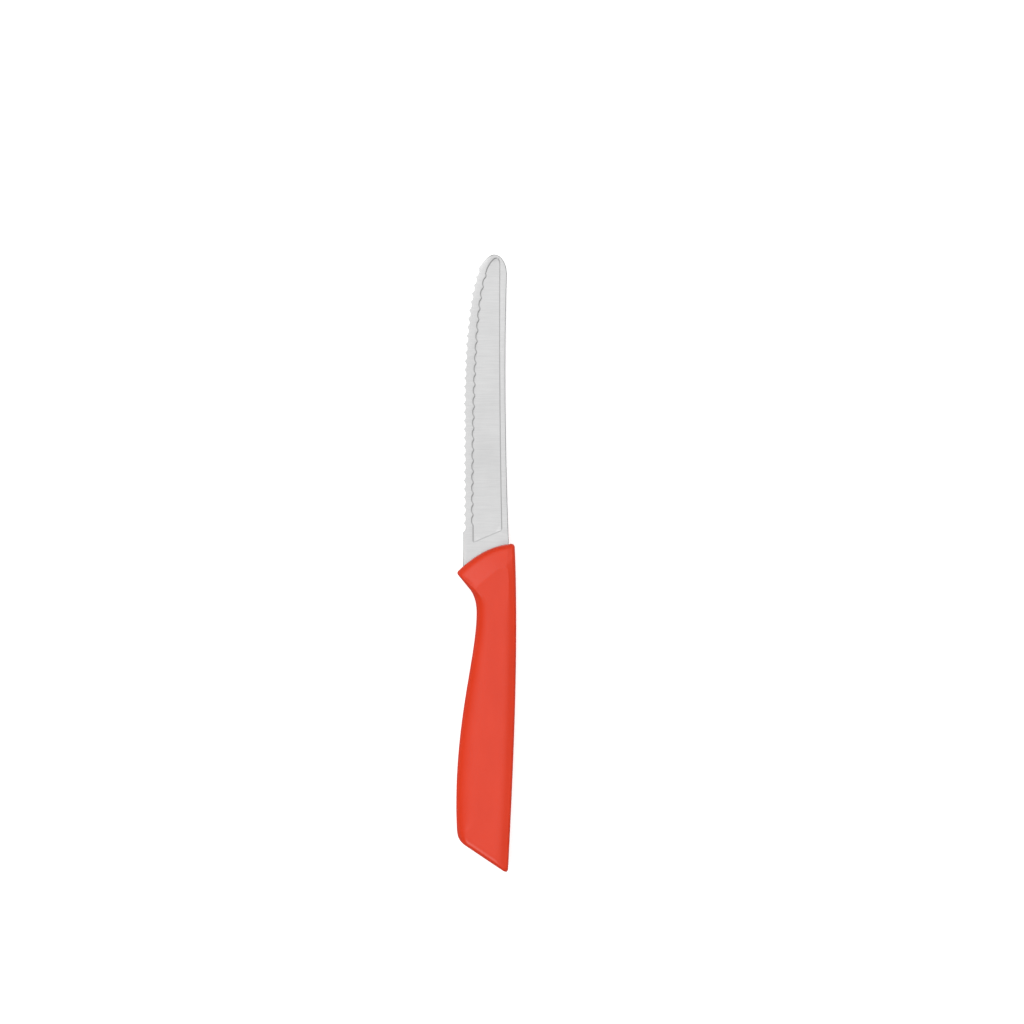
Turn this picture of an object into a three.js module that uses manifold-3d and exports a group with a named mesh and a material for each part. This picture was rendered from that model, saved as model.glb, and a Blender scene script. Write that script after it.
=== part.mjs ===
// A serrated utility knife: a stamped steel blade, a plastic core moulded round its tang, and a moulded
// grip. Millimetres. The knife lies on its side. In the sketches x runs from the tip towards the butt and is
// zero where the spine of the blade meets the grip, y runs from the cutting edge up to the spine and is zero
// on the spine there, and z is the thickness, zero in the middle of the steel.
import * as THREE from "three";
import { mergeVertices } from "three/addons/utils/BufferGeometryUtils.js";
import Module from "manifold-3d";

// Blade outline
const bladeLength = 96.6; // from the grip to the nose
const bladeThickness = 1.3;
const spineDipAt = 52; // where the hollow of the spine is pulled down, ahead of the grip
const spineDip = 1.9;
const spineEndBack = 5.6; // where the spine turns into the nose, behind the nose
const spineEndDrop = 0.65;
const noseDrop = 4.9; // the foremost point, below the spine
const firstToothBack = 4.7; // the first tooth, behind the nose
const firstToothDrop = 10.1;
const tipRun = 8; // the slope of the edge as it reaches the first tooth
const tipRise = 3.2;
const edgeStraight = 45; // straight length of the edge ahead of the grip
const heelHeight = 15.25; // the plain heel, below the spine
const heelPlain = 4.3; // the plain heel, ahead of the grip
const toothSet = 0.25; // how far the tooth points stand back from the line of the plain heel

// Blade grinds
const grindWidth = 2.6; // the rounded-over grind behind the edge
const edgeThickness = 0.4; // left by that grind, before the teeth are ground
const spineEase = 0.2; // broken corner along the spine
const toothPitch = 2.83;
const toothDepth = 0.68;
const toothLean = 58; // degrees that the toothing wheel leans, so the teeth are sharpened from below

// Pressed panel in each face of the blade
const panelDepth = 0.12;
const panelInset = 3.05; // the middle of its wavy side, from the tooth points
const wavePitch = 3.61;
const waveHeight = 0.54;
const waveStartBack = 1.6; // the wave starts this far behind the first tooth
const waveEndAhead = 1.9; // and ends this far ahead of the plain heel
const panelSpineMargin = 2.3;
const panelNoseBack = 1.4; // the foremost point of the panel, behind the nose
const panelNoseDrop = 3.9;
const panelNoseRound = 2;
const panelHeelTop = 4.7; // its slanted end ahead of the grip, at the spine side
const panelHeelFoot = 0.7; // and at the edge side

// How far the controls of the blade's curves lie between the ends of each curve
const edgeFullness = 0.45; // the edge, as it leaves its straight
const noseRun = 0.55; // upper half of the nose, along the blade
const noseFall = 0.5; // and across it
const chinFall = 0.37; // lower half of the nose, across the blade
const chinRun = 0.38; // and where it reaches the first tooth
const chinRise = 0.2;
const panelNoseRun = 0.12; // lower side of the panel's nose
const panelNoseFall = 0.55;

// Root and tang, inside the handle
const rootLength = 6; // the full-height root behind the grip's front, at the spine
const tangDrop = 1.2; // upper side of the tang, below the spine
const tangHeight = 5.2;
const tangCover = 8; // core plastic behind the end of the tang
const tangHole = 3.4;
const firstHole = 7.5; // behind the front of the core
const holePitch = 18;
const lastHole = 8; // least distance from a hole to the end of the tang

// Core
const gripWall = 1.6; // grip plastic over the core at the spine and belly
const gripSideWall = 2.6; // and over its sides
const fitGap = 0.25; // clearance between pieces
const coreCover = 5; // from the corner of the belly forward to the end of the core
const coreEase = 1.2; // broken corners of the core
const keyPitch = 12; // cross channels that key the grip to the core
const keyWidth = 2.6;
const keyDepth = 0.7;

// Grip outline
const gripThickness = 13;
const gripLength = 109.7; // from its front to the point of the butt
const spineRise = 2.05; // the grip's front corner, above the spine of the blade
const crestAt = 26.7; // the highest point of its spine, behind its front
const crestRise = 2.52;
const buttDrop = 0.15; // the point of the butt, below the spine of the blade
const frontRound = 1.3;
const guardBack = 9.6; // the point of the guard, behind the front
const guardOver = 2.15; // and how far it stands below the heel of the blade
const guardRound = 1;
const underRun = 5.8; // the straight underside of the guard
const underRise = 4.75;
const neckAt = 22.7; // the narrowest place, behind the front
const neckDrop = 10.4;
const bellyAhead = 23.2; // the deepest place, ahead of the point of the butt
const bellyDrop = 17.46;
const cornerAhead = 11.3; // the corner between belly and butt, ahead of the point of the butt
const cornerDrop = 17;
const cornerRound = 3;
const buttRound = 1.5;

// Grip sides: how far the rounded shoulders reach in from the outline to the flat side
const spineBand = 2.75;
const crownBand = 1.75; // the spine shoulder at the front
const bellyBand = 5.4;
const neckBand = 4;
const throatBand = 3.6; // over the end of the guard's underside
const buttBand = 1.7;
const bolsterLength = 7.2; // from the front back to the arch that ends the flat side
const archShoulder = 2.6; // round upper corner of that arch
const archFootBack = 4.8; // lower corner of the arch, behind the point of the guard
const archFootUp = 6.7;

// How far the controls of the grip's curves lie between the ends of each curve
const backRun = 0.4; // the spine, as it leaves the butt
const backRise = 0.62;
const crestRun = 0.71; // and as it reaches the crest
const crownRun = 0.58; // from the crest forward
const frontFall = 0.5; // the front
const archRun = 0.38; // the arch behind the front
const throatRun = 0.38;
const neckRun = 0.22; // the belly, as it leaves the neck
const bellyRun = 0.53; // and as it reaches its deepest place
const tailRun = 0.42; // from there to the corner
const flatCornerRound = 1.5; // the corner of the flat side, at the butt

// Half heights of the upright wall between the upper and lower shoulders
const spineWall = 2.8;
const frontWall = 1.9;
const guardWall = 1.35;
const bellyWall = 0.9;
const buttWall = 3.6;

// How sharply a shoulder breaks into the flat side: 0 runs in smoothly, 1 is a straight bevel
const softBreak = 0;
const faintBreak = 0.15;
const archBreak = 0.55;
const crownBreak = 0.75;

// Facets, and how far cutters stand out of what they cut
const facetLength = 3;
const facetTurn = 15; // degrees
const shoulderSteps = 6;
const grindSteps = 3;
const waveSteps = 8;
const wheelSteps = 44;
const arcSteps = 8;
const coreSteps = 14;
const cutOver = 1;

const wasm = await Module();
wasm.setup();

const spot = (x, y) => new THREE.Vector2(x, y);
const curveTypes = { 2: THREE.LineCurve, 3: THREE.QuadraticBezierCurve, 4: THREE.CubicBezierCurve };
const curve = (...controls) => new curveTypes[controls.length](...controls);
const mix = THREE.MathUtils.lerp;

// Even steps along a curve, closer where it turns
function stepsFor(line) {
  const turn = THREE.MathUtils.radToDeg(line.getTangent(0).angleTo(line.getTangent(1)));
  return Math.ceil(line.getLength() / facetLength + turn / facetTurn);
}

const pointsOn = (line) => line.getSpacedPoints(stepsFor(line));

// A closed mesh as a solid that can be joined and cut, and a solid as a mesh again
function solid(geometry) {
  geometry.deleteAttribute("normal");
  geometry.deleteAttribute("uv");
  const merged = mergeVertices(geometry);
  const vertProperties = Float32Array.from(merged.attributes.position.array);
  const triVerts = Uint32Array.from(merged.index.array);
  return new wasm.Manifold(new wasm.Mesh({ numProp: 3, vertProperties, triVerts }));
}

function geometryOf(manifold) {
  const { vertProperties, triVerts } = manifold.getMesh();
  const indexed = new THREE.BufferGeometry();
  indexed.setAttribute("position", new THREE.BufferAttribute(vertProperties, 3));
  indexed.setIndex(new THREE.BufferAttribute(triVerts, 1));
  const faceted = indexed.toNonIndexed();
  faceted.computeVertexNormals();
  return faceted;
}

// A flat shape given a thickness, centred on the middle of the steel
function plate(shape, thickness) {
  const options = { depth: thickness, bevelEnabled: false, curveSegments: arcSteps };
  return new THREE.ExtrudeGeometry(shape, options).translate(0, 0, -thickness / 2);
}

// A solid alike above and below. Each station of its closed outline has an upright wall on the rim, and
// above it a shoulder that rises to the edge of the flat side by the given rule.
function shoulderSolid(stations, half, steps, rise) {
  const shares = Array.from({ length: steps + 1 }, (_, k) => 1 - Math.cos(((k / steps) * Math.PI) / 2));
  const ring = (share, side) =>
    stations.map((station) => {
      const { x, y } = station.rim.clone().lerp(station.flat, share);
      const height = mix(station.wall, half, rise(share, station));
      return new THREE.Vector3(x, y, side * height);
    });
  const lower = shares.map((share) => ring(share, -1)).reverse();
  const upper = shares.map((share) => ring(share, 1));
  const rings = [...lower, ...upper];
  const count = stations.length;
  const faces = [];
  for (let level = 0; level + 1 < rings.length; level++) {
    for (let i = 0; i < count; i++) {
      const here = level * count + i;
      const next = level * count + ((i + 1) % count);
      faces.push(here, next, next + count, here, next + count, here + count);
    }
  }
  const top = (rings.length - 1) * count;
  const flats = stations.map((station) => station.flat);
  for (const [a, b, c] of THREE.ShapeUtils.triangulateShape(flats, [])) {
    faces.push(c, b, a, top + a, top + b, top + c);
  }
  const geometry = new THREE.BufferGeometry().setFromPoints(rings.flat());
  geometry.setIndex(faces);
  return solid(geometry);
}

// Outline of the blade. The teeth are ground out of a blank whose edge carries on from the plain heel.
const steelHalf = bladeThickness / 2;
const heelDatum = spot(0, 0);
const spineEnd = spot(spineEndBack - bladeLength, -spineEndDrop);
const nose = spot(-bladeLength, -noseDrop);
const firstTooth = spot(firstToothBack - bladeLength, -firstToothDrop);
const toothLine = toothSet - heelHeight;
const heelStart = spot(-heelPlain, -heelHeight);
const rootEdge = spot(guardBack, -heelHeight);
const rootSpine = spot(rootLength, 0);

// The edge from the first tooth down to the height of its straight
function edgeRising(height) {
  const tipEase = spot(firstTooth.x + tipRun, firstTooth.y - tipRise);
  const straightEase = spot(mix(-edgeStraight, firstTooth.x, edgeFullness), height);
  return curve(firstTooth, tipEase, straightEase, spot(-edgeStraight, height));
}

const edgePath = new THREE.CurvePath();
edgePath.add(edgeRising(toothLine));
edgePath.add(curve(spot(-edgeStraight, toothLine), spot(-heelPlain, toothLine)));
const edgeLength = edgePath.getLength();

// A place on the line of the tooth points, counted from the first tooth, with the edge's direction there
// and the way in
function edgeStation(distance) {
  const place = edgePath.getPoint(distance / edgeLength);
  const along = edgePath.getTangent(distance / edgeLength);
  const inward = spot(-along.y, along.x);
  return { place, along, inward };
}

// The outline's curves in order round the blade, with how far the grind reaches in and the half thickness
// that it leaves at the rim, where each curve starts and ends
function bladePieces() {
  const eased = { reach: spineEase, wall: steelHalf - spineEase };
  const ground = { reach: grindWidth, wall: edgeThickness / 2 };
  const spine = curve(heelDatum, spot(-spineDipAt, -spineDip), spineEnd);
  const upperNose = curve(
    spineEnd,
    spot(mix(spineEnd.x, nose.x, noseRun), spineEnd.y),
    spot(nose.x, mix(nose.y, spineEnd.y, noseFall)),
    nose,
  );
  const lowerNose = curve(
    nose,
    spot(nose.x, mix(nose.y, firstTooth.y, chinFall)),
    spot(mix(firstTooth.x, nose.x, chinRun), mix(firstTooth.y, nose.y, chinRise)),
    firstTooth,
  );
  const rising = edgeRising(-heelHeight);
  return [
    { line: curve(rootSpine, heelDatum), from: eased, to: eased },
    { line: spine, from: eased, to: eased },
    { line: upperNose, from: eased, to: eased },
    { line: lowerNose, from: eased, to: ground },
    { line: rising, from: ground, to: ground },
    { line: curve(rising.getPoint(1), heelStart), from: ground, to: ground },
    { line: curve(heelStart, rootEdge), from: ground, to: eased },
    { line: curve(rootEdge, rootSpine), from: eased, to: eased },
  ];
}

const grindRise = (share) => 1 - (1 - share) ** 2;

function bladeBlank() {
  const stations = [];
  for (const { line, from, to } of bladePieces()) {
    const steps = stepsFor(line);
    for (let i = 0; i < steps; i++) {
      const share = i / steps;
      const reach = mix(from.reach, to.reach, share);
      const wall = mix(from.wall, to.wall, share);
      stations.push({ rim: line.getPointAt(share), reach, wall });
    }
  }
  stations.forEach((station, i) => {
    const before = stations.at(i - 1).rim;
    const after = stations[(i + 1) % stations.length].rim;
    const along = after.clone().sub(before).normalize();
    station.flat = spot(station.rim.x - along.y * station.reach, station.rim.y + along.x * station.reach);
  });
  return shoulderSolid(stations, steelHalf, grindSteps, grindRise);
}

// Height of the upper face at a distance in from the edge of the blank
function grindHeight(inset) {
  const share = Math.min(inset / grindWidth, 1);
  return mix(edgeThickness / 2, steelHalf, grindRise(share));
}

// Scallops between the tooth points, ground by a round wheel that leans, so that they bite deeper into the
// lower face. Two neighbouring scallops meet in a tooth point on the upper face.
function toothCutters() {
  const count = Math.round(edgeLength / toothPitch);
  const pitch = edgeLength / count;
  const lean = THREE.MathUtils.degToRad(toothLean);
  const pointHeight = grindHeight(toothSet);
  const hollowHeight = grindHeight(toothSet + toothDepth);
  const depthAcross = toothDepth * Math.cos(lean) + (hollowHeight - pointHeight) * Math.sin(lean);
  const wheelRadius = ((pitch / 2) ** 2 + depthAcross ** 2) / (2 * depthAcross);
  const wheelRise = wheelRadius * Math.sin(lean);
  const wheelLength = (2 * (2 * wheelRise + bladeThickness + cutOver)) / Math.cos(lean);
  const wheelInset = toothDepth - wheelRadius * Math.cos(lean);
  const cutters = [];
  for (let i = 0; i < count; i++) {
    const { place, along, inward } = edgeStation((i + 0.5) * pitch);
    const axis = new THREE.Vector3(inward.x * Math.sin(lean), inward.y * Math.sin(lean), -Math.cos(lean));
    const tangent = new THREE.Vector3(along.x, along.y, 0);
    const placing = new THREE.Matrix4().makeBasis(tangent, axis, tangent.clone().cross(axis));
    const middle = place.addScaledVector(inward, wheelInset);
    placing.setPosition(middle.x, middle.y, hollowHeight - wheelRise);
    const wheel = new THREE.CylinderGeometry(wheelRadius, wheelRadius, wheelLength, wheelSteps);
    cutters.push(solid(wheel.applyMatrix4(placing)));
  }
  return cutters;
}

// Outline of the pressed panel: a wave along the edge, a slanted heel, a side along the spine and a round
// nose
function panelShape() {
  const waveLength = edgeLength - waveStartBack - waveEndAhead;
  const waves = Math.round(waveLength / wavePitch - 0.5) + 0.5;
  const stepsInAll = waves * waveSteps;
  const outline = [];
  for (let i = 0; i <= stepsInAll; i++) {
    const share = i / stepsInAll;
    const { place, inward } = edgeStation(waveStartBack + waveLength * share);
    const swing = (waveHeight / 2) * Math.cos(2 * Math.PI * waves * (1 - share));
    outline.push(place.addScaledVector(inward, panelInset + swing));
  }
  const waveStart = outline[0];
  const heelFoot = spot(-panelHeelFoot, toothLine + panelInset + waveHeight / 2);
  const heelTop = spot(-panelHeelTop, -panelSpineMargin);
  const noseTop = spot(panelNoseBack - bladeLength, -panelNoseDrop);
  const noseSide = -panelSpineMargin - spineEndDrop;
  const noseEnd = spot(noseTop.x + panelNoseRound, noseSide);
  const noseCorner = spot(noseTop.x, noseSide);
  const spineMiddle = spot(-spineDipAt, -panelSpineMargin - spineDip / 2);
  const slopeX = mix(noseTop.x, waveStart.x, panelNoseRun);
  const slopeY = mix(noseTop.y, waveStart.y, panelNoseFall);
  outline.push(heelFoot);
  outline.push(...pointsOn(curve(heelTop, spineMiddle, noseEnd)));
  outline.push(...pointsOn(curve(noseEnd, noseCorner, noseTop)).slice(1));
  outline.push(...pointsOn(curve(noseTop, spot(slopeX, slopeY), waveStart)).slice(1, -1));
  return new THREE.Shape(outline);
}

function panelCutters() {
  const depth = panelDepth + cutOver;
  const height = steelHalf - panelDepth + depth / 2;
  const cutter = plate(panelShape(), depth);
  return [height, -height].map((level) => solid(cutter.clone().translate(0, 0, level)));
}

// Outline of the grip. A joint has its place on the rim, the place on the edge of the flat side that belongs
// to it, half the height of the upright wall there, and how sharply the shoulder breaks into the flat side.
function joint(rim, flat, wall, sharpness) {
  return { rim, flat, wall, sharpness };
}

// A control of the curve between two joints, at a share of the way along x and along y
function between(a, b, shareX, shareY, flatShareX = shareX) {
  const rim = spot(mix(a.rim.x, b.rim.x, shareX), mix(a.rim.y, b.rim.y, shareY));
  const flat = spot(mix(a.flat.x, b.flat.x, flatShareX), mix(a.flat.y, b.flat.y, shareY));
  return { rim, flat };
}

const onward = (start, direction, distance) => start.clone().addScaledVector(direction, distance);

// The outline's curves anticlockwise from the butt, along the spine to the front and back along the belly
function gripPieces() {
  const buttTip = spot(gripLength, -buttDrop);
  const corner = spot(gripLength - cornerAhead, -cornerDrop);
  const buttLine = buttTip.clone().sub(corner).normalize();
  const buttFlat = onward(buttTip, spot(-buttLine.y, buttLine.x), buttBand);
  const onButtFlat = (height) => onward(buttFlat, buttLine, (height - buttFlat.y) / buttLine.y);
  const tipFlat = onButtFlat(-buttDrop - spineBand);
  const cornerFlat = onButtFlat(bellyBand - cornerDrop);
  const pointFlat = onward(tipFlat, buttLine, -buttRound);
  const point = joint(onward(buttTip, buttLine, -buttRound), pointFlat, buttWall, faintBreak);
  const forward = spot(-1, 0);
  const buttTopFlat = onward(tipFlat, forward, buttRound);
  const buttTop = joint(onward(buttTip, forward, buttRound), buttTopFlat, buttWall, faintBreak);
  const crestFlat = spot(crestAt, crestRise - spineBand);
  const crest = joint(spot(crestAt, crestRise), crestFlat, spineWall, faintBreak);
  const crownFlat = spot(bolsterLength + archShoulder, spineRise - crownBand);
  const crown = joint(spot(frontRound, spineRise), crownFlat, spineWall, crownBreak);
  const browFlat = spot(bolsterLength, crownFlat.y - archShoulder);
  const brow = joint(spot(0, spineRise - frontRound), browFlat, frontWall, archBreak);
  const guard = { rim: spot(guardBack, -heelHeight - guardOver) };
  guard.flat = spot(guard.rim.x + archFootBack, guard.rim.y + archFootUp);
  const archLine = browFlat.clone().sub(guard.flat).normalize();
  const frontLine = spot(-guardBack, (brow.rim.y - guard.rim.y) / 2).normalize();
  const underLine = spot(underRun, underRise).normalize();
  const cheekFlat = onward(guard.flat, archLine, guardRound);
  const cheek = joint(onward(guard.rim, frontLine, guardRound), cheekFlat, guardWall, archBreak);
  const throatRim = spot(guard.rim.x + underRun, guard.rim.y + underRise);
  const throatFlat = onward(throatRim, spot(underRise, underRun).normalize(), throatBand);
  const throat = joint(throatRim, throatFlat, bellyWall, softBreak);
  const footLine = throatFlat.clone().sub(guard.flat).normalize();
  const footFlat = onward(guard.flat, footLine, guardRound);
  const foot = joint(onward(guard.rim, underLine, guardRound), footFlat, guardWall, faintBreak);
  const neck = joint(spot(neckAt, -neckDrop), spot(neckAt, neckBand - neckDrop), bellyWall, softBreak);
  const bellyAt = gripLength - bellyAhead;
  const bellyFlat = spot(bellyAt, bellyBand - bellyDrop);
  const belly = joint(spot(bellyAt, -bellyDrop), bellyFlat, bellyWall, softBreak);
  const tailEase = { rim: spot(mix(bellyAt, corner.x, tailRun), -bellyDrop) };
  tailEase.flat = spot(tailEase.rim.x, cornerFlat.y);
  const tailRim = onward(corner, tailEase.rim.clone().sub(corner).normalize(), cornerRound);
  const tail = joint(tailRim, spot(tailRim.x, cornerFlat.y), bellyWall, softBreak);
  const riseFlat = onward(cornerFlat, buttLine, flatCornerRound);
  const rise = joint(onward(corner, buttLine, cornerRound), riseFlat, buttWall, softBreak);
  const backEase = between(buttTop, crest, backRun, backRise);
  const crestEase = between(buttTop, crest, crestRun, 1);
  const neckEase = between(neck, belly, neckRun, 0);
  const bellyEase = between(neck, belly, bellyRun, 1);
  return [
    { from: buttTop, by: [backEase, crestEase], to: crest },
    { from: crest, by: [between(crest, crown, crownRun, 0)], to: crown },
    { from: crown, by: [between(crown, brow, 1, 0)], to: brow },
    { from: brow, by: [between(brow, cheek, 0, frontFall, archRun)], to: cheek },
    { from: cheek, by: [guard], to: foot },
    { from: foot, by: [], to: throat },
    { from: throat, by: [between(throat, neck, throatRun, 1)], to: neck },
    { from: neck, by: [neckEase, bellyEase], to: belly },
    { from: belly, by: [tailEase], to: tail },
    { from: tail, by: [{ rim: corner, flat: cornerFlat }], to: rise },
    { from: rise, by: [], to: point },
    { from: point, by: [{ rim: buttTip, flat: tipFlat }], to: buttTop },
  ];
}

function gripStations() {
  const stations = [];
  for (const { from, by, to } of gripPieces()) {
    const controls = [from, ...by, to];
    const rim = curve(...controls.map((each) => each.rim));
    const flat = curve(...controls.map((each) => each.flat));
    const steps = stepsFor(rim);
    for (let i = 0; i < steps; i++) {
      const share = i / steps;
      stations.push({
        rim: rim.getPointAt(share),
        flat: flat.getPointAt(share),
        wall: mix(from.wall, to.wall, share),
        sharpness: mix(from.sharpness, to.sharpness, share),
      });
    }
  }
  return stations;
}

const gripOutline = gripStations();

function gripBody() {
  const rise = (share, { sharpness }) => mix(Math.sqrt(1 - (1 - share) ** 2), share, sharpness);
  return shoulderSolid(gripOutline, gripThickness / 2, shoulderSteps, rise);
}

// Heights of the grip's spine and belly at a place along it
function gripHeights(x) {
  const crossings = gripOutline.flatMap(({ rim: a }, i) => {
    const b = gripOutline[(i + 1) % gripOutline.length].rim;
    const crosses = a.x < x !== b.x < x;
    return crosses ? [mix(a.y, b.y, (x - a.x) / (b.x - a.x))] : [];
  });
  return { spine: Math.max(...crossings), belly: Math.min(...crossings) };
}

// The root of the blade where it passes into the grip, and the tang behind it, with room to spare on every
// side
function rootPlate(room) {
  const upper = spot(-cutOver, room);
  const upperEnd = spot(rootSpine.x + room, room);
  const lowerEnd = spot(rootEdge.x + room, rootEdge.y - room);
  const lower = spot(-cutOver, rootEdge.y - room);
  return solid(plate(new THREE.Shape([lower, lowerEnd, upperEnd, upper]), bladeThickness + 2 * room));
}

const coreFront = neckAt;
const coreEnd = gripLength - cornerAhead - coreCover;
const coreHalf = gripThickness / 2 - gripSideWall - fitGap;
const tangEnd = coreEnd - tangCover;

function tangPlate(room) {
  const middle = -tangDrop - tangHeight / 2;
  const radius = tangHeight / 2 + room;
  const roundAt = tangEnd - tangHeight / 2;
  const shape = new THREE.Shape();
  shape.moveTo(heelDatum.x, middle - radius);
  shape.lineTo(roundAt, middle - radius);
  shape.absarc(roundAt, middle, radius, -Math.PI / 2, Math.PI / 2);
  shape.lineTo(heelDatum.x, middle + radius);
  for (let x = coreFront + firstHole; x <= tangEnd - lastHole; x += holePitch) {
    const hole = new THREE.Path();
    hole.absarc(x, middle, tangHole / 2 - room, 0, Math.PI * 2);
    shape.holes.push(hole);
  }
  return solid(plate(shape, bladeThickness + 2 * room));
}

// The core follows the grip's spine and belly at an even depth, and has cross channels in both sides
function coreBar(room) {
  const depth = gripWall + fitGap - room;
  const front = coreFront - room;
  const end = coreEnd + room;
  const places = Array.from({ length: coreSteps + 1 }, (_, i) => mix(front, end, i / coreSteps));
  const lower = places.map((x) => spot(x, gripHeights(x).belly + depth));
  const upper = places.map((x) => spot(x, gripHeights(x).spine - depth));
  const options = {
    depth: 2 * (coreHalf + room - coreEase),
    bevelThickness: coreEase,
    bevelSize: coreEase,
    bevelOffset: -coreEase,
    bevelSegments: 2,
  };
  const shape = new THREE.Shape([...lower, ...upper.reverse()]);
  const bar = new THREE.ExtrudeGeometry(shape, options).translate(0, 0, coreEase - coreHalf - room);
  const channelHeight = 2 * (bellyDrop + crestRise);
  const channelDepth = keyDepth + cutOver;
  const channelLevel = coreHalf - keyDepth + room + channelDepth / 2;
  let core = solid(bar);
  for (let x = coreFront + keyPitch / 2; x < coreEnd; x += keyPitch) {
    for (const level of [channelLevel, -channelLevel]) {
      const channel = new THREE.BoxGeometry(keyWidth - 2 * room, channelHeight, channelDepth);
      core = core.subtract(solid(channel.translate(x, 0, level)));
    }
  }
  return core;
}

function makeBlade() {
  let blade = bladeBlank().add(tangPlate(0));
  for (const cutter of [...toothCutters(), ...panelCutters()]) {
    blade = blade.subtract(cutter);
  }
  return blade;
}

function makeCore() {
  return coreBar(0).subtract(tangPlate(fitGap));
}

function makeGrip() {
  return gripBody().subtract(coreBar(fitGap)).subtract(rootPlate(fitGap)).subtract(tangPlate(fitGap));
}

const steel = new THREE.MeshStandardMaterial({ color: 0xd9d9d8, roughness: 0.35, metalness: 0.9 });
const greyPlastic = new THREE.MeshStandardMaterial({ color: 0xb9b4aa, roughness: 0.7, metalness: 0 });
const redPlastic = new THREE.MeshStandardMaterial({ color: 0xe8523e, roughness: 0.4, metalness: 0 });

function piece(name, manifold, material) {
  const mesh = new THREE.Mesh(geometryOf(manifold), material);
  mesh.name = name;
  return mesh;
}

// The knife rests on one flat side of the grip, over the middle of its own box
const knife = new THREE.Group();
knife.add(piece("blade", makeBlade(), steel));
knife.add(piece("handle_core", makeCore(), greyPlastic));
knife.add(piece("handle_grip", makeGrip(), redPlastic));
const box = new THREE.Box3().setFromObject(knife);
const middle = box.getCenter(new THREE.Vector3());
knife.position.set(-middle.x, -middle.y, -box.min.z);

export default knife;
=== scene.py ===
import math
from collections import namedtuple

import bmesh
import bpy
import numpy as np
from mathutils import Matrix, Vector


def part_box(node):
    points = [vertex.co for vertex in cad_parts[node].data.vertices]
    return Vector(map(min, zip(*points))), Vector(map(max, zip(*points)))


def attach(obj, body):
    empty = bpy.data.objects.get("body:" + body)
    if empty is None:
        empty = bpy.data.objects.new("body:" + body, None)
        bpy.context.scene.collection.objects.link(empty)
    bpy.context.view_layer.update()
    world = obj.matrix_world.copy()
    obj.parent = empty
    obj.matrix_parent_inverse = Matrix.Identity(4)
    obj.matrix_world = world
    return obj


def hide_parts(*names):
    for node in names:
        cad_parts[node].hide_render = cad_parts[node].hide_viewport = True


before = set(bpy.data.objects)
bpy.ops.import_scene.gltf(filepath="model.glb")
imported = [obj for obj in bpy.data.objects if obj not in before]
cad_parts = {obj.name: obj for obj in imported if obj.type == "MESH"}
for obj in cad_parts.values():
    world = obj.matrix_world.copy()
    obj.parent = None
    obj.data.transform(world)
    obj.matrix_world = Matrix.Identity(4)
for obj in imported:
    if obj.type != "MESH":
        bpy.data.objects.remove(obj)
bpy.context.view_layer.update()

# Camera
# It looks straight down on the knife, with the tip at the top of the picture and the cutting edge on the
# left, as in the photograph. A long lens keeps the outline true.
picture_px = 1024
px_per_mm = 3.0
knife_middle_px = Vector((486.3, 563.3))
lens_mm = 180
sensor_mm = 36
picture_width = picture_px / px_per_mm / 1000
picture_middle = (Vector((picture_px, picture_px)) / 2 - knife_middle_px) / px_per_mm / 1000
blade_level = sum(corner.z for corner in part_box("blade")) / 2
camera_level = blade_level + picture_width * lens_mm / sensor_mm

camera = bpy.data.objects.new("camera", bpy.data.cameras.new("camera"))
camera.data.lens = lens_mm
camera.data.sensor_width = sensor_mm
camera.matrix_world = Matrix((
    (0, -1, 0, picture_middle.y),
    (1, 0, 0, picture_middle.x),
    (0, 0, 1, camera_level),
    (0, 0, 0, 1),
))
bpy.context.scene.collection.objects.link(camera)
bpy.context.scene.camera = camera

# Blade
# One strip of stainless steel, stamped to its outline together with the tang, thinned along the edge and
# ground to teeth by a round wheel that leans. A shallow panel with a wavy side is pressed into each face.
# It is drawn in millimetres from the place where its spine meets the grip, x to the butt and y to the spine.
blade_low, blade_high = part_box("blade")
blade_length = 96.6
heel_place = Vector((blade_low.x + blade_length / 1000, blade_high.y, blade_level))
drawing_to_frame = Matrix.Translation(heel_place) @ Matrix.Scale(0.001, 4)
steel_half = 500 * (blade_high.z - blade_low.z)
fine_steps = 300


def at(x, y):
    return Vector((x, y))


def on_curve(controls, share):
    """The place at a share of the way along the curve of some control points."""
    points = controls
    while len(points) > 1:
        points = [a.lerp(b, share) for a, b in zip(points, points[1:])]
    return points[0]


def fine_points(controls):
    return [on_curve(controls, share) for share in np.linspace(0, 1, fine_steps + 1)]


def run_along(places):
    """The distance of each place from the first one, along the run of them."""
    return np.cumsum([0] + [(b - a).length for a, b in zip(places, places[1:])])


def even_along(places, steps):
    """Places at even steps along a run of them, without its end."""
    run = run_along(places)
    distances = np.linspace(0, run[-1], steps + 1)[:-1]
    all_x = np.interp(distances, run, [place.x for place in places])
    all_y = np.interp(distances, run, [place.y for place in places])
    return [at(x, y) for x, y in zip(all_x, all_y)]


def inward_at(outline, i):
    """The way in from an anticlockwise outline, square to it."""
    along = (outline[(i + 1) % len(outline)] - outline[i - 1]).normalized()
    return at(-along.y, along.x)


# Outline, in order round the blade from the spine to the nose, the edge, the heel and the tang
heel_height = 15.25
heel_plain = 4.3
edge_straight = 45
edge_fullness = 0.45
tooth_set = 0.25
tooth_line = tooth_set - heel_height
spine_heel = at(0, 0)
spine_hollow = at(-52, -1.9)
spine_end = at(7.1 - blade_length, -0.66)
nose = at(-blade_length, -4.9)
first_tooth = at(4.7 - blade_length, -10.1)
tip_slope = at(8, -3.2)
root_spine = at(6, 0)
root_edge = at(9.6, -heel_height)
tang_top = -1.2
tang_foot = -6.4
tang_round = (tang_top - tang_foot) / 2
tang_bend = 1000 * (blade_high.x - heel_place.x) - tang_round
grind_width = 2.6
grind_edge_upper = 0.5
grind_edge_lower = 0.15
spine_ease = 0.2
outline_step = 0.45
grind_rows = 7


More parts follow.
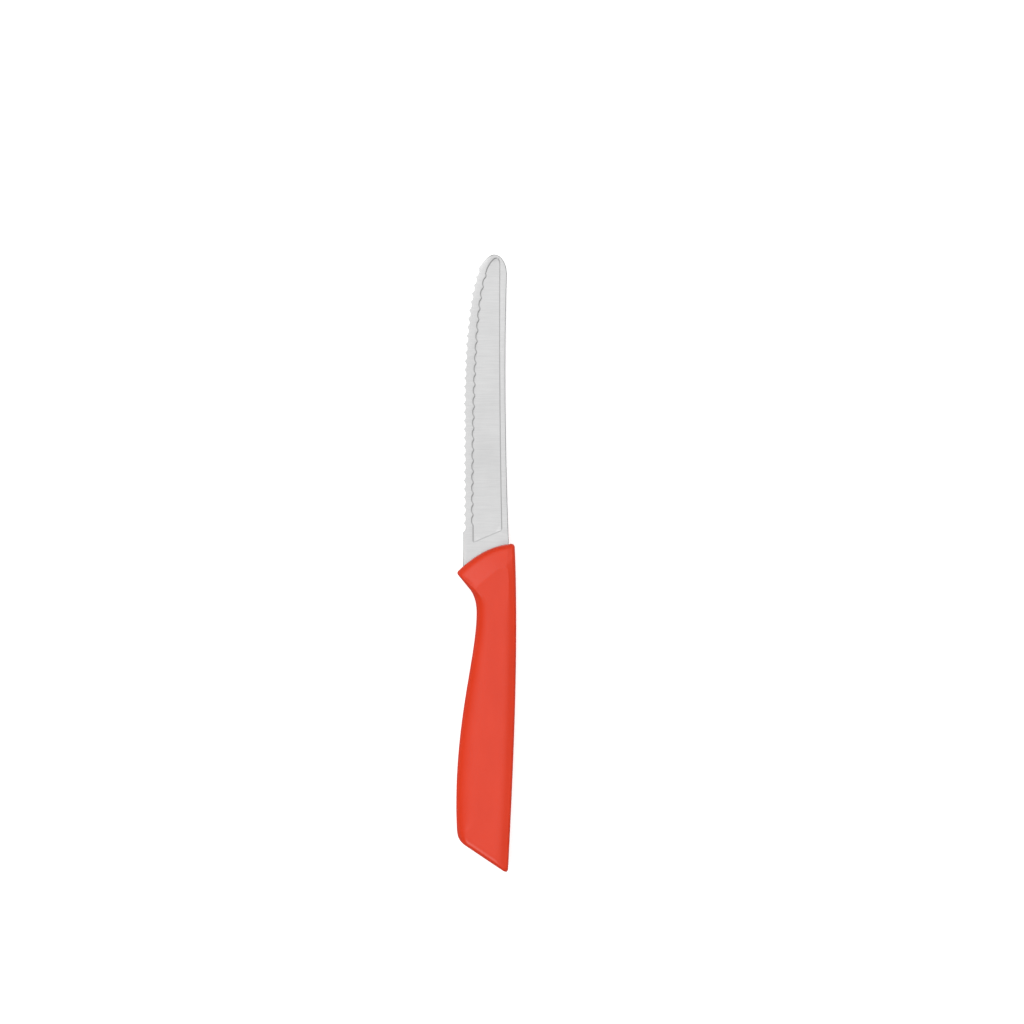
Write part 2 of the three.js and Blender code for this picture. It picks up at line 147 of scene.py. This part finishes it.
def edge_curve(level):
    straight_pull = at(-edge_straight + edge_fullness * (first_tooth.x + edge_straight), level)
    return [first_tooth, first_tooth + tip_slope, straight_pull, at(-edge_straight, level)]


def on_root(level):
    return root_spine.lerp(root_edge, level / root_edge.y)


nose_run = 3.4
nose_shoulder = -2.0
chin_fall = 0.37
chin_run = 0.38
chin_rise = 0.2
chin_pull = at(
    first_tooth.x + chin_run * (nose.x - first_tooth.x),
    first_tooth.y + chin_rise * (nose.y - first_tooth.y),
)
upper_nose = [
    spine_end,
    spine_end + (spine_end - spine_hollow).normalized() * nose_run,
    at(nose.x, nose_shoulder),
    nose,
]
lower_nose = [
    nose,
    at(nose.x, nose.y + chin_fall * (first_tooth.y - nose.y)),
    chin_pull,
    first_tooth,
]
# A curve that is pulled out by 4/3 of the radius makes a half circle, very nearly
tang_pull = tang_bend + tang_round * 4 / 3
tang_end = [
    at(tang_bend, tang_foot),
    at(tang_pull, tang_foot),
    at(tang_pull, tang_top),
    at(tang_bend, tang_top),
]
Rim = namedtuple("Rim", "reach upper lower")
eased = Rim(spine_ease, steel_half - spine_ease, steel_half - spine_ease)
ground = Rim(grind_width, grind_edge_upper, grind_edge_lower)
blank_edge = edge_curve(-heel_height)
heel_start = at(-heel_plain, -heel_height)
blade_outline = [
    ([on_root(tang_top), root_spine], eased, eased),
    ([root_spine, spine_heel], eased, eased),
    ([spine_heel, spine_hollow, spine_end], eased, eased),
    (upper_nose, eased, eased),
    (lower_nose, eased, ground),
    (blank_edge, ground, ground),
    ([blank_edge[-1], heel_start], ground, ground),
    ([heel_start, root_edge], ground, eased),
    ([root_edge, on_root(tang_foot)], eased, eased),
    ([on_root(tang_foot), tang_end[0]], eased, eased),
    (tang_end, eased, eased),
    ([tang_end[-1], on_root(tang_top)], eased, eased),
]
blade_rim = []
rim_grinds = []
for controls, rim_from, rim_to in blade_outline:
    places = fine_points(controls)
    steps = math.ceil(run_along(places)[-1] / outline_step)
    blade_rim += even_along(places, steps)
    for i in range(steps):
        rim_grinds.append(Rim(*[a + (b - a) * i / steps for a, b in zip(rim_from, rim_to)]))


def grind_rise(share):
    return 1 - (1 - share) ** 2


def blade_ring(share, side):
    """The blade's rim moved in over the grind by a share of its reach, on the upper or the lower face."""
    ring = []
    for i, (place, grind) in enumerate(zip(blade_rim, rim_grinds)):
        x, y = place + inward_at(blade_rim, i) * grind.reach * share
        edge_level = grind.upper if side > 0 else grind.lower
        ring.append((x, y, side * (edge_level + (steel_half - edge_level) * grind_rise(share))))
    return ring


# Line of the tooth points, which the wheel follows
edge_points = fine_points(edge_curve(tooth_line)) + [at(-heel_plain, tooth_line)]
edge_run = run_along(edge_points)
edge_length = edge_run[-1]


def along_edge(distance):
    x = np.interp(distance, edge_run, [place.x for place in edge_points])
    y = np.interp(distance, edge_run, [place.y for place in edge_points])
    return at(x, y)


def edge_place(distance):
    """A place on the line of the tooth points, the way along it and the way in."""
    nudge = 0.05
    along = (along_edge(distance + nudge) - along_edge(distance - nudge)).normalized()
    return along_edge(distance), along, at(-along.y, along.x)


# Outline of the pressed panel, whose side to the teeth is a row of shallow waves
panel_depth = 0.14
panel_wall = 0.44
panel_margin = 2.3
panel_step = 0.3
panel_corner = 0.5
panel_nose_run = 2.3
panel_wall_rows = 5
wave_pitch = 3.614
waves = 23.5
wave_steps = 18
wave_swing = 0.27
wave_sharpening = 0.07
wave_end = -6.2
wave_start = wave_end - waves * wave_pitch
wave_middle = [at(wave_start, -7.22), at(-82, -11.47), at(-45, -12.07), at(wave_end, -12.2)]
middle_places = fine_points(wave_middle)
middle_x = [place.x for place in middle_places]
middle_y = [place.y for place in middle_places]
panel_side = []
for x in np.linspace(wave_start, wave_end, round(waves * wave_steps) + 1):
    middle = np.interp(x, middle_x, middle_y)
    turn = 2 * math.pi * (wave_end - x) / wave_pitch
    panel_side.append(at(x, middle + wave_swing * math.cos(turn) + wave_sharpening * math.cos(2 * turn)))
panel_foot = at(-0.7, panel_side[-1].y)
panel_heel = at(-4.7, -panel_margin)
panel_nose = at(-95.4, -4.3)
panel_shoulder = at(panel_nose.x, -panel_margin + spine_end.y)
panel_spine_end = panel_shoulder + at(panel_nose_run, 0)
panel_hollow = at(spine_hollow.x, spine_hollow.y / 2 - panel_margin)
heel_slope = (panel_heel - panel_foot).normalized()
spine_way = (panel_hollow - panel_heel).normalized()
foot_start = panel_foot - at(panel_corner, 0)
foot_end = panel_foot + heel_slope * panel_corner
heel_turn = panel_heel - heel_slope * panel_corner
heel_end = panel_heel + spine_way * panel_corner
nose_pull = panel_nose - at(0, 1)
first_wave_pull = panel_side[0] + at(-1.2, 0.15)
panel_outline = panel_side[:-1]
for controls in (
    [panel_side[-1], foot_start],
    [foot_start, panel_foot, foot_end],
    [foot_end, heel_turn],
    [heel_turn, panel_heel, heel_end],
    [heel_end, panel_hollow, panel_spine_end],
    [panel_spine_end, panel_shoulder, panel_nose],
    [panel_nose, nose_pull, first_wave_pull, panel_side[0]],
):
    places = fine_points(controls)
    panel_outline += even_along(places, math.ceil(run_along(places)[-1] / panel_step))


def panel_ring(share, side):
    """The panel's outline across its sloping wall, from the face of the blade down to the panel's floor."""
    sunk = panel_depth * share * share * (3 - 2 * share)
    ring = []
    for i, place in enumerate(panel_outline):
        x, y = place + inward_at(panel_outline, i) * panel_wall * (share - 0.5)
        ring.append((x, y, side * (steel_half - sunk)))
    return ring


def add_bands(mesh, rings, material=0, gap=None):
    """Bands of faces from each closed ring of points to the next one, with a gap before one point."""
    rows = [[mesh.verts.new(place) for place in ring] for ring in rings]
    for row, above in zip(rows, rows[1:]):
        for i in range(len(row)):
            if i == gap:
                continue
            band_face = mesh.faces.new((row[i - 1], row[i], above[i], above[i - 1]))
            band_face.material_index = material
    return rows


def add_flat(mesh, *rows):
    """A flat face inside the first ring and outside the others."""
    edges = [mesh.edges.get((row[i - 1], row[i])) for row in rows for i in range(len(row))]
    bmesh.ops.triangle_fill(mesh, edges=edges, use_beauty=True, normal=(0, 0, 1))


def circle(middle, radius, level, steps):
    turns = [2 * math.pi * i / steps for i in range(steps)]
    return [(middle.x + radius * math.cos(t), middle.y + radius * math.sin(t), level) for t in turns]


def new_piece(name, mesh, *materials):
    bmesh.ops.recalc_face_normals(mesh, faces=mesh.faces)
    data = bpy.data.meshes.new(name)
    mesh.to_mesh(data)
    mesh.free()
    for material in materials:
        data.materials.append(material)
    piece = bpy.data.objects.new(name, data)
    bpy.context.scene.collection.objects.link(piece)
    return piece


def settle(piece):
    """Makes a piece's modifiers part of its mesh."""
    drawn = piece.data
    shaped = piece.evaluated_get(bpy.context.evaluated_depsgraph_get())
    piece.data = bpy.data.meshes.new_from_object(shaped)
    piece.modifiers.clear()
    bpy.data.meshes.remove(drawn)


def cut(piece, cutter):
    """Takes the room of a cutter out of a piece. The new faces keep the cutter's material."""
    cutting = piece.modifiers.new("cutting", "BOOLEAN")
    cutting.operation = "DIFFERENCE"
    cutting.solver = "EXACT"
    cutting.material_mode = "TRANSFER"
    cutting.object = cutter
    settle(piece)
    bpy.data.objects.remove(cutter)


def finish_off(piece, sharp_angle):
    """Joins the points that cutting left almost in one place, moves a piece from the drawing into the frame,
    and shades it smooth between the edges that are sharper than an angle, with its flat faces kept flat."""
    join_distance = 0.002
    mesh = bmesh.new()
    mesh.from_mesh(piece.data)
    bmesh.ops.remove_doubles(mesh, verts=mesh.verts, dist=join_distance)
    for edge in mesh.edges:
        edge.smooth = edge.calc_face_angle(0) < math.radians(sharp_angle)
    for face in mesh.faces:
        face.smooth = True
    mesh.transform(drawing_to_frame)
    mesh.to_mesh(piece.data)
    mesh.free()
    evening = piece.modifiers.new("evening", "WEIGHTED_NORMAL")
    evening.keep_sharp = True
    evening.weight = 100
    splitting = piece.modifiers.new("splitting", "TRIANGULATE")
    splitting.min_vertices = 5
    splitting.keep_custom_normals = True
    settle(piece)


# Steel
def new_material(name):
    material = bpy.data.materials.new(name)
    material.use_nodes = True
    tree = material.node_tree
    return material, tree, tree.nodes["Principled BSDF"]


def add_node(tree, kind, **values):
    """A node with the values of its sockets, which are named with _ for each space."""
    made = tree.nodes.new(kind)
    for name, value in values.items():
        made.inputs[name.replace("_", " ")].default_value = value
    return made


def add_noise(tree, lumps_mm, **values):
    """Noise in the piece's own place, in lumps of the given sizes in millimetres."""
    place = add_node(tree, "ShaderNodeTexCoord")
    mapping = add_node(tree, "ShaderNodeMapping", Scale=[1000 / size for size in lumps_mm])
    noise = add_node(tree, "ShaderNodeTexNoise", Scale=1.0, **values)
    tree.links.new(place.outputs["Object"], mapping.inputs["Vector"])
    tree.links.new(mapping.outputs["Vector"], noise.inputs["Vector"])
    return noise.outputs["Fac"]


def spread(tree, source, low, high):
    """Noise turned into a value between two limits."""
    ranged = add_node(tree, "ShaderNodeMapRange", From_Min=0.3, From_Max=0.7, To_Min=low, To_Max=high)
    tree.links.new(source, ranged.inputs["Value"])
    return ranged.outputs["Result"]


def shade_between(tree, source, dark, light):
    """Noise turned into a colour between two."""
    ramp = tree.nodes.new("ShaderNodeValToRGB")
    ramp.color_ramp.elements[0].position = 0.3
    ramp.color_ramp.elements[0].color = (*dark, 1)
    ramp.color_ramp.elements[1].position = 0.7
    ramp.color_ramp.elements[1].color = (*light, 1)
    tree.links.new(source, ramp.inputs["Fac"])
    return ramp.outputs["Color"]


def add_bump(tree, shader, source, depth_mm, strength):
    bump = add_node(tree, "ShaderNodeBump", Strength=strength, Distance=depth_mm / 1000)
    tree.links.new(source, bump.inputs["Height"])
    tree.links.new(bump.outputs["Normal"], shader.inputs["Normal"])


def steel_material(name, dark, light, lines_mm, roughness):
    """Ground steel: fine lines the way it was ground, and a faint cloud of handling over them."""
    material, tree, shader = new_material(name)
    ground_lines = add_noise(tree, lines_mm, Detail=4.0, Roughness=0.6)
    cloud = add_noise(tree, lumps_mm=(14, 9, 14), Detail=2.0)
    shader.inputs["Metallic"].default_value = 1.0
    tree.links.new(shade_between(tree, ground_lines, dark, light), shader.inputs["Base Color"])
    tree.links.new(spread(tree, cloud, *roughness), shader.inputs["Roughness"])
    add_bump(tree, shader, ground_lines, depth_mm=0.004, strength=0.5)
    return material


satin_grey = (0.39, 0.39, 0.392), (0.45, 0.45, 0.45)
# The sloping wall of each pressed panel is a darker grey than the face. This is painted shade, standing in
# for the shade that falls on the panel's wall.
panel_wall_shade_grey = (0.31, 0.31, 0.31), (0.36, 0.36, 0.36)
wheel_grey = (0.5, 0.5, 0.5), (0.6, 0.6, 0.6)
satin_steel = steel_material("satin_steel", *satin_grey, lines_mm=(0.12, 7, 0.12), roughness=(0.3, 0.4))
panel_wall_shade_steel = steel_material("panel_wall_shade_steel", *panel_wall_shade_grey, lines_mm=(0.2, 0.2, 0.2), roughness=(0.3, 0.38))
tooth_grind = steel_material("tooth_grind", *wheel_grey, lines_mm=(0.06, 2, 2), roughness=(0.2, 0.26))

# Blank with the panels and the holes in the tang
first_hole = 30.2
hole_pitch = 18
hole_level = (tang_top + tang_foot) / 2
tang_holes = [at(first_hole + hole_pitch * i, hole_level) for i in range(3)]
tang_hole_radius = 1.7
hole_steps = 48
blade_mesh = bmesh.new()
shares = np.linspace(0, 1, grind_rows)
lower_rings = [blade_ring(share, -1) for share in reversed(shares)]
upper_rings = [blade_ring(share, 1) for share in shares]
blade_rows = add_bands(blade_mesh, lower_rings + upper_rings)
hole_rows = []
for middle in tang_holes:
    rings = [circle(middle, tang_hole_radius, level, hole_steps) for level in (-steel_half, steel_half)]
    hole_rows.append(add_bands(blade_mesh, rings))
wall_shares = np.linspace(0, 1, panel_wall_rows)
for side, end in ((-1, 0), (1, -1)):
    panel_rings = [panel_ring(share, side) for share in wall_shares]
    # Material 1 is the darker grey: painted shade on the panel's sloping wall.
    panel_rows = add_bands(blade_mesh, panel_rings, material=1)
    add_flat(blade_mesh, blade_rows[end], panel_rows[0], *[rows[end] for rows in hole_rows])
    add_flat(blade_mesh, panel_rows[-1])
blade = new_piece("knife_blade", blade_mesh, satin_steel, panel_wall_shade_steel)

# Teeth: a leaning wheel takes a scallop between each two points, deeper into the lower face. They are cut in
# three rounds, so that no two wheels of one round touch.
tooth_pitch = 2.83
tooth_depth = 0.68
wheel_lean = math.radians(54)
wheel_steps = 120
rounds = 3
teeth = round(edge_length / tooth_pitch)
pitch = edge_length / teeth


def grind_level(inset):
    return grind_edge_upper + (steel_half - grind_edge_upper) * grind_rise(min(inset / grind_width, 1))


hollow_level = grind_level(tooth_set + tooth_depth)
depth_across = tooth_depth * math.cos(wheel_lean)
depth_across += (hollow_level - grind_level(tooth_set)) * math.sin(wheel_lean)
wheel_radius = ((pitch / 2) ** 2 + depth_across ** 2) / (2 * depth_across)
wheel_rise = wheel_radius * math.sin(wheel_lean)
wheel_width = 7
wheel_shift = 1
wheel_turn = 0.013
wheel_inset = tooth_depth - wheel_radius * math.cos(wheel_lean)
for start in range(rounds):
    wheels = bmesh.new()
    for i in range(start, teeth, rounds):
        place, along, inward = edge_place((i + 0.5) * pitch)
        tangent = along.to_3d()
        axle = (inward * math.sin(wheel_lean)).to_3d() - Vector((0, 0, math.cos(wheel_lean)))
        turn = Matrix((tangent, axle.cross(tangent), axle)).transposed().to_4x4()
        turn @= Matrix.Rotation(wheel_turn * start, 4, "Z")
        middle = (place + inward * wheel_inset).to_3d() + Vector((0, 0, hollow_level - wheel_rise))
        bmesh.ops.create_cone(
            wheels,
            cap_ends=True,
            segments=wheel_steps,
            radius1=wheel_radius,
            radius2=wheel_radius,
            depth=wheel_width,
            matrix=Matrix.Translation(middle + axle * wheel_shift) @ turn,
        )
    cut(blade, new_piece("wheels", wheels, tooth_grind))
finish_off(blade, sharp_angle=30)
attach(blade, "root")
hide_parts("blade")

# Handle core
# The first shot of plastic, moulded round the tang through its holes, with channels across both sides that
# the grip locks into. It is hidden inside the grip.
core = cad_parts["handle_core"]
core_plastic, tree, shader = new_material("core_plastic")
core_grain = add_noise(tree, lumps_mm=(0.4, 0.4, 0.4), Detail=3.0)
core_colour = shade_between(tree, core_grain, (0.47, 0.45, 0.4), (0.55, 0.53, 0.48))
tree.links.new(core_colour, shader.inputs["Base Color"])
tree.links.new(spread(tree, core_grain, low=0.6, high=0.75), shader.inputs["Roughness"])
add_bump(tree, shader, core_grain, depth_mm=0.02, strength=0.4)
core.data.materials.clear()
core.data.materials.append(core_plastic)

# Handle grip
# The second shot: a red grip moulded over the core and the root of the blade in a two-part tool. Its flat
# sides end in an arch behind the guard, and its shoulders run round to the spine, the belly and the butt.
grip_low, grip_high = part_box("handle_grip")
grip_half = 500 * (grip_high.z - grip_low.z)
grip_length = 109.7
spine_band = 3.0
butt_band = 1.9
belly_band = 7.5
tail_band = 3.6
butt_drop = 0.15
spine_wall = 3.3
front_wall = 2.0
guard_wall = 2.2
belly_wall = 2.6
butt_wall = 3.6
Break = namedtuple("Break", "sharpness rounding")
no_break = Break(0.0, 0.05)
foot_break = Break(0.1, 0.05)
spine_break = Break(0.5, 0.37)
temple_break = Break(0.4, 0.0)
butt_break = Break(0.3, 0.5)
ridge_break = Break(0.3, 0.0)
arch_start_break = Break(0.45, 0.0)
arch_break = Break(0.45, 0.05)
Joint = namedtuple("Joint", "rim flat wall broken")
Pull = namedtuple("Pull", "rim flat")


def pull_between(a, b, share_x, share_y):
    """A pull on the curve from one joint to the next, at a share of the way along x and along y."""
    rim = at(a.rim.x + share_x * (b.rim.x - a.rim.x), a.rim.y + share_y * (b.rim.y - a.rim.y))
    flat = at(a.flat.x + share_x * (b.flat.x - a.flat.x), a.flat.y + share_y * (b.flat.y - a.flat.y))
    return Pull(rim, flat)


def patch(joint_from, pulls, joint_to):
    """The rim and the border of the flat side from one joint to the next."""
    places = (joint_from, *pulls, joint_to)
    rim = fine_points([place.rim for place in places])
    flat = fine_points([place.flat for place in places])
    return joint_from, rim, flat, joint_to


# Butt
butt_tip = at(grip_length, -butt_drop)
corner = at(grip_length - 11.3, -17)
butt_line = (butt_tip - corner).normalized()
butt_flat = butt_tip + butt_band * at(-butt_line.y, butt_line.x)


def on_butt_flat(level):
    return butt_flat + butt_line * (level - butt_flat.y) / butt_line.y


tip_flat = on_butt_flat(butt_tip.y - spine_band)
corner_flat = on_butt_flat(corner.y + tail_band)
tip_round = 2.3
tip_flat_round = 1.5
corner_round = 3
point = Joint(butt_tip - butt_line * tip_round, tip_flat - butt_line * tip_flat_round, butt_wall, butt_break)
butt_top = Joint(butt_tip - at(tip_round, 0), tip_flat - at(tip_flat_round, 0), butt_wall, spine_break)

# Spine and front: the band beside the spine runs on to the front rim, where a ridge parts it from the slope
# that falls from the arch to the guard
crest_x = 26.7
crest_level = 2.52
crest = Joint(at(crest_x, crest_level), at(crest_x, crest_level - spine_band), spine_wall, spine_break)
crown = at(1.3, 2.05)
brow = at(-0.25, 0.75)
ridge_foot = at(-0.1, 0.1)
arch_top = at(7.3, -0.75)
spine_front = fine_points([crest.rim, at(12, crest.rim.y), crown])
temple_share = 0.72
temple_at = round(temple_share * fine_steps)
temple = Joint(spine_front[temple_at], arch_top, spine_wall, temple_break)
front_turn = spine_front[temple_at:] + fine_points([crown, at(brow.x, crown.y), brow]) + [ridge_foot]
ridge = Joint(ridge_foot, arch_top, front_wall, arch_start_break)
guard = Pull(at(9.4, -17.45), at(14.6, -11.1))
guard_round = 1
front_pull = at(0.6, -8.2)
arch_pulls = [at(6.5, -1.7), at(9.0, -5.0)]
under_run = at(5.8, 4.75)
throat_rim = guard.rim + under_run
throat = Joint(throat_rim, at(15.9, -10.0), belly_wall, no_break)
cheek = Joint(
    guard.rim + (front_pull - guard.rim).normalized() * guard_round,
    guard.flat + (arch_pulls[1] - guard.flat).normalized() * guard_round,
    guard_wall,
    arch_break,
)
foot = Joint(
    guard.rim + under_run.normalized() * guard_round,
    guard.flat + (throat.flat - guard.flat).normalized() * guard_round,
    guard_wall,
    foot_break,
)

# Neck, belly and tail
neck = Joint(at(22.7, -10.7), at(22.7, -6.2), belly_wall, no_break)
belly_x = grip_length - 23.2
belly_level = -17.46
tail_reach = 0.42
belly = Joint(at(belly_x, belly_level), at(belly_x, belly_level + belly_band), belly_wall, no_break)
tail_x = belly_x + tail_reach * (corner.x - belly_x)
tail_pull = Pull(at(tail_x, belly.rim.y), at(tail_x, belly.flat.y))
tail_rim = corner + (tail_pull.rim - corner).normalized() * corner_round
tail = Joint(tail_rim, at(tail_rim.x, corner_flat.y), belly_wall, no_break)
rise = Joint(
    corner + butt_line * corner_round,
    corner_flat + butt_line * corner_round / 2,
    butt_wall,
    butt_break,
)
spine_pulls = [pull_between(butt_top, crest, 0.4, 0.62), pull_between(butt_top, crest, 0.71, 1)]
temple_flat = fine_points([crest.flat, at(8.2, 0.6), arch_top])
front_edge = fine_points([ridge.rim, front_pull, cheek.rim])
arch = fine_points([arch_top, *arch_pulls, cheek.flat])
neck_pulls = [pull_between(throat, neck, 0.38, 1)]
belly_pulls = [pull_between(neck, belly, 0.22, 0), pull_between(neck, belly, 0.53, 1)]
grip_patches = [
    patch(butt_top, spine_pulls, crest),
    (crest, spine_front[:temple_at + 1], temple_flat, temple),
    (ridge, front_edge, arch, cheek),
    patch(cheek, [guard], foot),
    patch(foot, [], throat),
    patch(throat, neck_pulls, neck),
    patch(neck, belly_pulls, belly),
    patch(belly, [tail_pull], tail),
    patch(tail, [Pull(corner, corner_flat)], rise),
    patch(rise, [], point),
    patch(point, [Pull(butt_tip, tip_flat)], butt_top),
]

# Its shoulders rise from an upright wall on the rim to the flat side, with a small round where they break
rising_steps = 16
rising_end = 0.84
breaking_start = 0.86
breaking_rows = 12
rising_shares = [
    rising_end * (1 - math.cos(i / rising_steps * math.pi / 2))
    for i in range(rising_steps + 1)
]
breaking_shares = list(np.linspace(breaking_start, 1, breaking_rows))
shoulder_shares = rising_shares + breaking_shares
lip_shrink = 1.6
Station = namedtuple("Station", "rim flat wall sharpness top rounding")


def shoulder_rise(reach, sharpness, rounding):
    """The share of its height that a shoulder has risen, at a reach from the rim to the flat side."""
    lip = 1 - lip_shrink * sharpness
    round_rise = math.sqrt(1 - (1 - min(reach / lip, 1)) ** 2)
    rise_here = round_rise + sharpness * (reach - round_rise)
    room = sharpness * rounding
    if room == 0:
        return min(rise_here, 1)
    overlap = max(room - abs(rise_here - 1), 0) / room
    return min(rise_here, 1) - overlap ** 2 * room / 4


def shoulder_ring(share, side):
    """All the stations' points at a share of the way over the shoulder, above or below the seam."""
    ring = []
    for station in stations:
        reach = share * (1 + station.rounding)
        x, y = station.rim.lerp(station.flat, reach)
        rise_here = shoulder_rise(reach, station.sharpness, station.rounding)
        ring.append((x, y, side * (station.wall + (station.top - station.wall) * rise_here)))
    return ring


# Stations along the ridge stand where the first station of the front has its points
ridge_stations = []
front_rim = even_along(front_turn, len(shoulder_shares) - 1) + [ridge_foot]
for rim, share in zip(front_rim, reversed(shoulder_shares)):
    top = front_wall + (grip_half - front_wall) * shoulder_rise(share, *arch_start_break)
    wall = front_wall + (spine_wall - front_wall) * share
    sharpness = ridge_break.sharpness + (temple_break.sharpness - ridge_break.sharpness) * share
    ridge_stations.append(Station(rim, ridge_foot.lerp(arch_top, share), wall, sharpness, top, 0))
grip_step = 0.6
fewest_steps = 12
stations = []
for joint_from, rim_places, flat_places, joint_to in grip_patches:
    if joint_from is ridge:
        stations += ridge_stations
        front_start = len(stations)
    steps = max(fewest_steps, math.ceil(run_along(rim_places)[-1] / grip_step))
    rims = even_along(rim_places, steps)
    flats = even_along(flat_places, steps)
    for i in range(steps):
        share = (i / steps) ** 2 * (3 - 2 * i / steps)
        wall = joint_from.wall + share * (joint_to.wall - joint_from.wall)
        sharpness, rounding = [a + share * (b - a) for a, b in zip(joint_from.broken, joint_to.broken)]
        stations.append(Station(rims[i], flats[i], wall, sharpness, grip_half, rounding))


def seam_ring(level, depth):
    """The rim beside the seam that the two halves of the moulding tool leave."""
    rim = [station.rim for station in stations]
    return [(*(place + inward_at(rim, i) * depth), level) for i, place in enumerate(rim)]


seam_half = 0.12
seam_depth = 0.04
ring_join = 1e-4
seam_rings = [seam_ring(-seam_half, 0), seam_ring(0, seam_depth), seam_ring(seam_half, 0)]
grip_mesh = bmesh.new()
add_bands(grip_mesh, [shoulder_ring(0, -1), *seam_rings, shoulder_ring(0, 1)])
for side in (-1, 1):
    add_bands(grip_mesh, [shoulder_ring(share, side) for share in shoulder_shares], gap=front_start)
bmesh.ops.remove_doubles(grip_mesh, verts=grip_mesh.verts, dist=ring_join)
for side in (-1, 1):
    border = [edge for edge in grip_mesh.edges if edge.is_boundary and side * edge.verts[0].co.z > 0]
    bmesh.ops.triangle_fill(grip_mesh, edges=border, use_beauty=True, normal=(0, 0, 1))

# Red plastic with a satin gloss, the grain of the tool and faint clouds in its colour
red_plastic, tree, shader = new_material("red_plastic")
clouds = add_noise(tree, lumps_mm=(16, 7, 7), Detail=2.0)
grain = add_noise(tree, lumps_mm=(0.5, 0.5, 0.5), Detail=2.0)
handling = add_noise(tree, lumps_mm=(9, 9, 9), Detail=3.0)
red = shade_between(tree, clouds, (0.63, 0.031, 0.004), (0.66, 0.035, 0.006))
tree.links.new(red, shader.inputs["Base Color"])
tree.links.new(spread(tree, handling, low=0.28, high=0.34), shader.inputs["Roughness"])
add_bump(tree, shader, grain, depth_mm=0.015, strength=0.3)
shader.inputs["Specular IOR Level"].default_value = 0.34
grip = new_piece("knife_grip", grip_mesh, red_plastic)

# Room in the grip for the blade and the core, which it is moulded round
moulded_room = 0.05
core_join = 1e-6


def cut_room(inner, name):
    """Cuts room in the grip for a piece inside it."""
    bmesh.ops.recalc_face_normals(inner, faces=inner.faces)
    inner.normal_update()
    for vertex in inner.verts:
        vertex.co += vertex.normal * moulded_room
    cut(grip, new_piece(name, inner, red_plastic))


blade_cast = bmesh.new()
cast_rows = add_bands(blade_cast, lower_rings + upper_rings)
add_flat(blade_cast, cast_rows[0])
add_flat(blade_cast, cast_rows[-1])
cut_room(blade_cast, "blade_room")
core_cast = bmesh.new()
core_cast.from_mesh(core.data)
bmesh.ops.remove_doubles(core_cast, verts=core_cast.verts, dist=core_join)
core_cast.transform(drawing_to_frame.inverted())
cut_room(core_cast, "core_room")
finish_off(grip, sharp_angle=35)
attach(grip, "root")
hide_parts("handle_grip")

# Floor
# A wide white studio table that the knife lies on. A soft light comes through it, so shadows stay pale, and
# it is left out of the reflections, so the sides of the grip keep their full red.
floor_half = 3.0
floor_level = -0.0001
floor_mesh = bmesh.new()
corners = [(floor_half * x, floor_half * y) for x, y in ((-1, -1), (1, -1), (1, 1), (-1, 1))]
floor_mesh.faces.new([floor_mesh.verts.new((x, y, floor_level)) for x, y in corners])
white_table, tree, shader = new_material("white_table")
paper = add_noise(tree, lumps_mm=(60, 60, 60), Detail=2.0)
paper_colour = shade_between(tree, paper, (0.74, 0.74, 0.74), (0.76, 0.76, 0.76))
tree.links.new(paper_colour, shader.inputs["Base Color"])
shader.inputs["Roughness"].default_value = 0.9
shader.inputs["Specular IOR Level"].default_value = 0.1
shader.inputs["Emission Color"].default_value = (1, 1, 1, 1)
shader.inputs["Emission Strength"].default_value = 0.56
floor = new_piece("floor", floor_mesh, white_table)
floor.visible_glossy = False

# Light
# A white studio: a broad light overhead that fades to the sides and is stronger towards the tip, and two
# strips that draw the highlights along the arch and the butt.
scene = bpy.context.scene
scene.view_settings.view_transform = "Standard"
studio = bpy.data.worlds.new("studio")
scene.world = studio
studio.use_nodes = True
tree = studio.node_tree
background = tree.nodes["Background"]
background.inputs["Color"].default_value = (1, 1, 1, 1)


def add_sum(operation, first, second):
    """A sum of two values, each a number or the output of a node."""
    made = tree.nodes.new("ShaderNodeMath")
    made.operation = operation
    for socket, value in zip(made.inputs, (first, second)):
        if isinstance(value, float):
            socket.default_value = value
        else:
            tree.links.new(value, socket)
    return made.outputs["Value"]


side_light = 0.16
overhead_light = 1.6
overhead_focus = 1.8
tip_gain = 0.7
edge_gain = 0.05
way = tree.nodes.new("ShaderNodeTexCoord")
way_parts = tree.nodes.new("ShaderNodeSeparateXYZ")
tree.links.new(way.outputs["Generated"], way_parts.inputs["Vector"])
height = add_sum("POWER", add_sum("MAXIMUM", way_parts.outputs["Z"], 0.0), overhead_focus)
overhead = add_sum("ADD", add_sum("MULTIPLY", height, overhead_light), side_light)
to_tip = add_sum("MULTIPLY", way_parts.outputs["X"], -tip_gain)
to_edge = add_sum("MULTIPLY", way_parts.outputs["Y"], -edge_gain)
slant = add_sum("ADD", add_sum("ADD", to_tip, to_edge), 1.0)
tree.links.new(add_sum("MULTIPLY", overhead, slant), background.inputs["Strength"])


def add_strip(name, azimuth, from_overhead, size, brightness):
    """A strip of light a metre from the knife, square to the way to it."""
    light = bpy.data.lights.new(name, "AREA")
    light.shape = "RECTANGLE"
    light.size, light.size_y = size
    light.energy = brightness * math.pi * size[0] * size[1]
    strip = bpy.data.objects.new(name, light)
    sideways = math.sin(math.radians(from_overhead))
    strip.location = (
        sideways * math.cos(math.radians(azimuth)),
        sideways * math.sin(math.radians(azimuth)),
        math.cos(math.radians(from_overhead)),
    )
    strip.rotation_euler = (-strip.location).to_track_quat("-Z", "Y").to_euler()
    strip.visible_camera = False
    scene.collection.objects.link(strip)


add_strip("arch_strip", azimuth=-126, from_overhead=28, size=(0.25, 0.25), brightness=2.4)
add_strip("butt_strip", azimuth=-34, from_overhead=44, size=(0.2, 0.2), brightness=13.0)
